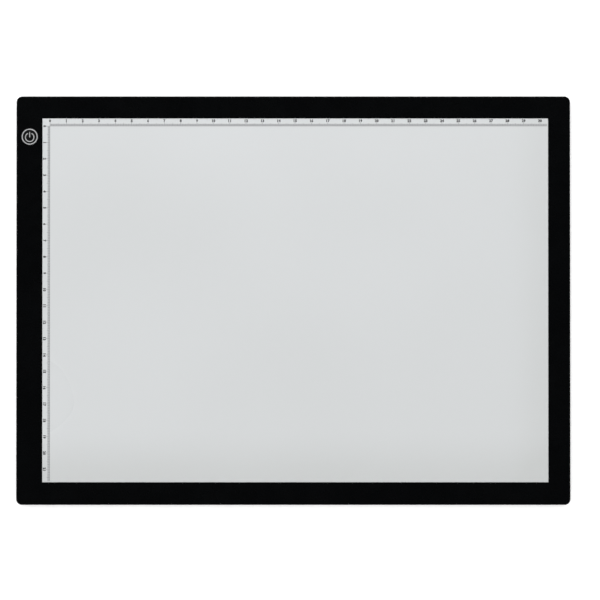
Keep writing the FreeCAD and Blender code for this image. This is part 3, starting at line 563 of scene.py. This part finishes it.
def print_scale(side, zero, height, centimetres, overrun_mm, turn, ink, tint):
    """One scale: its comb of marks, the tint under them, and its numbers."""
    length_mm = centimetres * MM_PER_CM + overrun_mm
    for kind, flat, material, thickness in (
            ("marks", scale_comb(length_mm), ink, INK_THICKNESS),
            ("tint", tint_strip(length_mm), tint, TINT_THICKNESS)):
        for vert in flat.verts:
            vert.co = on_scale(side, zero, vert.co.x, vert.co.y)
        raised_print(f"scale_{side}_{kind}", flat, height, material, "housing", thickness)

    numbers = []
    for number in range(centimetres + 1):
        middle = on_scale(side, zero, number * MM_PER_CM * MM, NUMBER_OFFSET)
        numbers.append(number_shape(number, middle, turn))
    raised_print(f"scale_{side}_numbers", joined(numbers), height, ink, "housing")


def print_scales():
    """The two centimetre scales, along the panel's back and left edges."""
    ink = printed_ink("scale_ink", (0.062, 0.063, 0.065), (0.078, 0.079, 0.081))
    tint = printed_ink("scale_tint", (0.378, 0.388, 0.393), (0.398, 0.408, 0.413))
    low, high = top_face("drawing_panel")
    zero = Vector((low.x + SCALE_INSET_X, high.y - SCALE_INSET_Y, 0))
    print_scale("top", zero, high.z, TOP_SCALE_CM, TOP_OVERRUN_MM, 0.0, ink, tint)
    print_scale("left", zero, high.z, LEFT_SCALE_CM, LEFT_OVERRUN_MM, math.radians(90), ink, tint)


# ---- Power mark ----------------------------------------------------------------------------

def arc_points(centre, radius, start, end, steps):
    """Points on a circle's arc from one angle to another."""
    points = []
    for index in range(steps + 1):
        angle = start + (end - start) * index / steps
        points.append(centre + Vector((math.cos(angle), math.sin(angle), 0)) * radius)
    return points


def add_cap(flat, row, outward):
    """A half disc on the end of a band; outward is as long as half the band's width."""
    left, middle, right = row
    side = left.co - middle.co
    rim = [left]
    for step in range(1, CAP_STEPS):
        angle = math.pi * step / CAP_STEPS
        rim.append(flat.verts.new(middle.co + side * math.cos(angle) + outward * math.sin(angle)))
    rim.append(right)
    for first, second in zip(rim, rim[1:]):
        flat.faces.new([middle, first, second])


def add_band(flat, path, width):
    """A flat band along a path, with round ends, or closed if the path ends where it starts."""
    closed = (path[0] - path[-1]).length < TINY
    if closed:
        path = path[:-1]
    rows = []
    for index, point in enumerate(path):
        before = path[index - 1] if index or closed else point
        after = path[(index + 1) % len(path)] if index + 1 < len(path) or closed else point
        along = (after - before).normalized() * width / 2
        side = Vector((-along.y, along.x, 0))
        rows.append([flat.verts.new(point + side * share) for share in (1, 0, -1)])
    if closed:
        rows.append(rows[0])
    else:
        add_cap(flat, rows[0], (path[0] - path[1]).normalized() * width / 2)
        add_cap(flat, rows[-1], (path[-1] - path[-2]).normalized() * width / 2)
    for row, next_row in zip(rows, rows[1:]):
        for side in (0, 1):
            flat.faces.new([row[side], next_row[side], next_row[side + 1], row[side + 1]])


def print_power_mark():
    """The ring, the open arc and the bar on the power key."""
    ink = printed_ink("mark_ink", (0.33, 0.335, 0.34), (0.38, 0.385, 0.39))
    low, high = top_face("power_key")
    centre = Vector(((low.x + high.x) / 2, (low.y + high.y) / 2, 0))
    arc_centre = centre - Vector((0, ARC_DROP, 0))
    top = math.pi / 2
    bar_ends = [centre + Vector((0, y, 0)) for y in (BAR_BOTTOM + BAR_WIDTH / 2, BAR_TOP - BAR_WIDTH / 2)]
    flat = bmesh.new()
    ring = arc_points(centre, RING_RADIUS, 0.0, 2 * math.pi, RING_STEPS)
    arc = arc_points(arc_centre, ARC_RADIUS, top + ARC_GAP, top + 2 * math.pi - ARC_GAP, ARC_STEPS)
    add_band(flat, ring, RING_WIDTH)
    add_band(flat, arc, ARC_WIDTH)
    add_band(flat, bar_ends, BAR_WIDTH)
    raised_print("power_mark", flat, high.z, ink, "power_key")


# ---- Snap dome -----------------------------------------------------------------------------

def lathe(profile, axis):
    """A closed solid turned round a vertical axis, from a profile that starts and ends on it."""
    solid = bmesh.new()
    first = solid.verts.new((axis.x, axis.y, profile[0][1]))
    last = solid.verts.new((axis.x, axis.y, profile[-1][1]))
    rings = []
    for radius, z in profile[1:-1]:
        ring = []
        for facet in range(DOME_FACETS):
            angle = 2 * math.pi * facet / DOME_FACETS
            ring.append(solid.verts.new((axis.x + radius * math.cos(angle),
                                         axis.y + radius * math.sin(angle), z)))
        rings.append(ring)
    for here in range(DOME_FACETS):
        there = (here + 1) % DOME_FACETS
        solid.faces.new([first, rings[0][here], rings[0][there]])
        for ring, next_ring in zip(rings, rings[1:]):
            solid.faces.new([ring[here], next_ring[here], next_ring[there], ring[there]])
        solid.faces.new([last, rings[-1][there], rings[-1][here]])
    bmesh.ops.recalc_face_normals(solid, faces=solid.faces)
    return solid


def snap_dome():
    """The switch's sheet metal dome, in its resting shape. The real dome flattens as the plunger comes down
    on it; this piece does not move.
    """
    low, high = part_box("switch_dome")
    radius = (high.x - low.x) / 2
    rise = high.z - low.z - DOME_SHEET
    upper = []
    for index in range(DOME_RINGS + 1):
        share = index / DOME_RINGS
        upper.append((radius * share, low.z + DOME_SHEET + rise * (1 - share ** 2)))
    lower = [(r, z - DOME_SHEET) for r, z in reversed(upper)]
    solid = lathe(upper + lower, (low + high) / 2)
    mesh = bpy.data.meshes.new("switch_snap_dome")
    solid.to_mesh(mesh)
    solid.free()
    mesh.materials.append(metal("dome_steel", (0.60, 0.60, 0.58), (0.68, 0.68, 0.65), (0.20, 0.28)))
    dome = bpy.data.objects.new("switch_snap_dome", mesh)
    bpy.context.scene.collection.objects.link(dome)
    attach(dome, "housing")
    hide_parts("switch_dome")
    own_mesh(dome)


# ---- Stage, lights and camera --------------------------------------------------------------

def lay_floor():
    """A wide pale floor, under the feet."""
    mesh = bpy.data.meshes.new("floor")
    flat = bmesh.new()
    rim = []
    for index in range(FLOOR_SIDES):
        angle = 2 * math.pi * index / FLOOR_SIDES
        rim.append(flat.verts.new((FLOOR_RADIUS * math.cos(angle), FLOOR_RADIUS * math.sin(angle), 0)))
    flat.faces.new(rim)
    flat.to_mesh(mesh)
    flat.free()
    mesh.materials.append(pale_floor())
    floor = bpy.data.objects.new("floor", mesh)
    bpy.context.scene.collection.objects.link(floor)


def add_lamp(name, data, direction, distance):
    """Adds a lamp that looks back along a direction at the object's middle, unseen by the camera."""
    lamp = bpy.data.objects.new(name, data)
    lamp.location = direction * distance
    lamp.rotation_mode = "QUATERNION"
    lamp.rotation_quaternion = direction.to_track_quat("Z", "Y")
    lamp.visible_camera = False
    bpy.context.scene.collection.objects.link(lamp)
    return lamp


def toward(azimuth, elevation):
    """A direction from the object; azimuth 0 is in front of it, at -Y, and 90 is at +X."""
    a = math.radians(azimuth)
    e = math.radians(elevation)
    return Vector((math.sin(a) * math.cos(e), -math.cos(a) * math.cos(e), math.sin(e)))


def softbox(name, azimuth, distance, power):
    """A wide soft light that stands at a distance from the object."""
    data = bpy.data.lights.new(name, "AREA")
    data.shape = "RECTANGLE"
    data.size = SOFTBOX_WIDTH * distance
    data.size_y = SOFTBOX_HEIGHT * distance
    data.energy = power
    add_lamp(name, data, toward(azimuth, SOFTBOX_ELEVATION), distance)


def overhead_light():
    """A very broad light from above. It is cross-polarised, so it adds no gloss."""
    data = bpy.data.lights.new("overhead", "SUN")
    data.angle = OVERHEAD_SPREAD
    data.energy = OVERHEAD_STRENGTH
    lamp = add_lamp("overhead", data, toward(azimuth=200, elevation=80), distance=4.0)
    lamp.visible_glossy = False


def studio_walls():
    """A world that is bright all round the horizon and dark straight above."""
    world = bpy.data.worlds.new("studio")
    world.use_nodes = True
    tree = world.node_tree
    coordinates = tree.nodes.new("ShaderNodeTexCoord")
    height = axis_value(tree, coordinates.outputs["Generated"], "Z")
    background = tree.nodes["Background"]
    background.inputs["Color"].default_value = (1, 1, 1, 1)
    strength = spread(tree, height, HORIZON_STRENGTH, CEILING_STRENGTH, 0.06, 0.26)
    tree.links.new(strength, background.inputs["Strength"])
    bpy.context.scene.world = world


def light_scene():
    """Four softboxes round the object, the light overhead and the walls."""
    overhead_light()
    softbox("softbox_back", azimuth=185, distance=1.25, power=5.2)
    softbox("softbox_left", azimuth=275, distance=2.4, power=10)
    softbox("softbox_right", azimuth=85, distance=2.4, power=8)
    softbox("softbox_front", azimuth=355, distance=2.4, power=9)
    studio_walls()


def set_camera():
    """A long lens that looks almost straight down on the panel."""
    data = bpy.data.cameras.new("camera")
    data.sensor_width = SENSOR_WIDTH / MM
    data.lens = SENSOR_WIDTH / MM * CAMERA_DISTANCE / PICTURE_SPAN
    data.clip_start = 0.05
    data.clip_end = 100
    camera = bpy.data.objects.new("camera", data)
    target = CAMERA_AIM + Vector((0, 0, CAD_BOX[1].z))
    back = Vector((0, -math.sin(CAMERA_LEAN), math.cos(CAMERA_LEAN)))
    camera.location = target + back * CAMERA_DISTANCE
    camera.rotation_mode = "QUATERNION"
    camera.rotation_quaternion = back.to_track_quat("Z", "Y")
    bpy.context.scene.collection.objects.link(camera)
    bpy.context.scene.camera = camera


def set_view_transform():
    """Plain display colours, without a film curve."""
    bpy.context.scene.view_settings.view_transform = "Standard"
    bpy.context.scene.view_settings.look = "None"


set_camera()
set_view_transform()
dress_cad_nodes()
print_scales()
print_power_mark()
snap_dome()
lay_floor()
light_scene()
